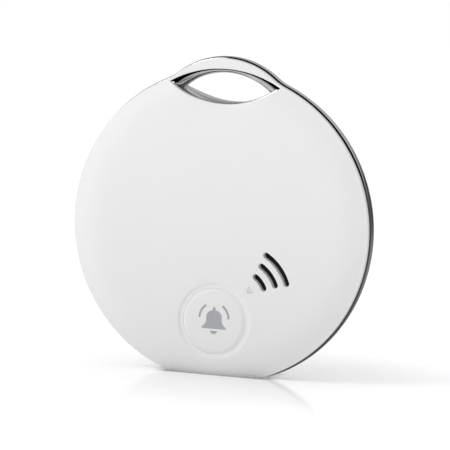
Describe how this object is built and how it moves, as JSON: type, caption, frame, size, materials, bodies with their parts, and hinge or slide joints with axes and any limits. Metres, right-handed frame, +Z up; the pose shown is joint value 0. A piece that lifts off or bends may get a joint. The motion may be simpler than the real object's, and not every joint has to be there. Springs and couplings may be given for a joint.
{
  "type": "bluetooth tracker tag",
  "caption": "Round key-finder tag with a chromed edge ring, key-ring eye, press button, curved sound slots and a coin-cell door at the back.",
  "frame": {"origin": "middle of the flat that the tag stands on, halfway through its depth", "axes": "+X to the right seen from the front, +Y from the front face to the battery door, +Z up through the key-ring eye"},
  "size_m": [0.038, 0.0056, 0.0384],
  "materials": {
    "white_shell": "satin white moulded plastic",
    "chrome_ring": "bright chrome plating",
    "white_button": "satin white moulded plastic",
    "white_silicone": "soft white silicone",
    "black_silicone": "matte black silicone",
    "black_foam": "black foam",
    "black_mesh": "black acoustic mesh",
    "clear_guide": "milky clear plastic",
    "screw_steel": "zinc-plated steel",
    "cell_steel": "bright nickel-plated steel",
    "cell_gasket": "grey nylon",
    "cell_anode": "dull soft metal",
    "cell_cathode": "pressed black powder",
    "black_plastic": "matte black plastic",
    "spring_metal": "nickel-plated phosphor bronze",
    "buzzer_brass": "rolled brass",
    "buzzer_ceramic": "silvered ceramic",
    "board_green": "solder-masked laminate",
    "chip_black": "black moulding compound",
    "crystal_can": "nickel can",
    "chip_ceramic": "white ceramic",
    "capacitor_tan": "tan ceramic",
    "resistor_black": "black ceramic",
    "led_white": "clear and white plastic"
  },
  "bodies": {
    "housing": {"front_shell": "white_shell", "middle_frame": "chrome_ring", "back_shell": "white_shell", "case_gasket": "black_silicone", "shell_screws": "screw_steel", "door_seal": "black_silicone", "coin_cell_can": "cell_steel", "coin_cell_cap": "cell_steel", "coin_cell_gasket": "cell_gasket", "coin_cell_anode": "cell_anode", "coin_cell_cathode": "cell_cathode", "battery_holder": "black_plastic", "positive_contact": "spring_metal", "negative_contact": "spring_metal", "button_membrane": "white_silicone", "switch_body": "black_plastic", "sound_mesh": "black_mesh", "buzzer_gasket": "black_foam", "buzzer_plate": "buzzer_brass", "buzzer_ceramic": "buzzer_ceramic", "buzzer_contacts": "spring_metal", "light_guide": "clear_guide", "indicator_led": "led_white", "circuit_board": "board_green", "bluetooth_chip": "chip_black", "crystal": "crystal_can", "chip_antenna": "chip_ceramic", "capacitors": "capacitor_tan", "resistors": "resistor_black"},
    "button": {"button_cap": "white_button", "switch_plunger": "black_plastic"},
    "door": {"battery_door": "white_shell"}
  },
  "joints": [
    {"name": "button_press", "type": "slide", "parent": "housing", "child": "button", "axis": [0, 1, 0], "range_m": [0, 0.00025], "stiffness_N_per_m": 6400},
    {"name": "door_turn", "type": "hinge", "parent": "housing", "child": "door", "pos_m": [0, 0, 0.0179], "axis": [0, 1, 0], "range_deg": [0, 25]}
  ]
}
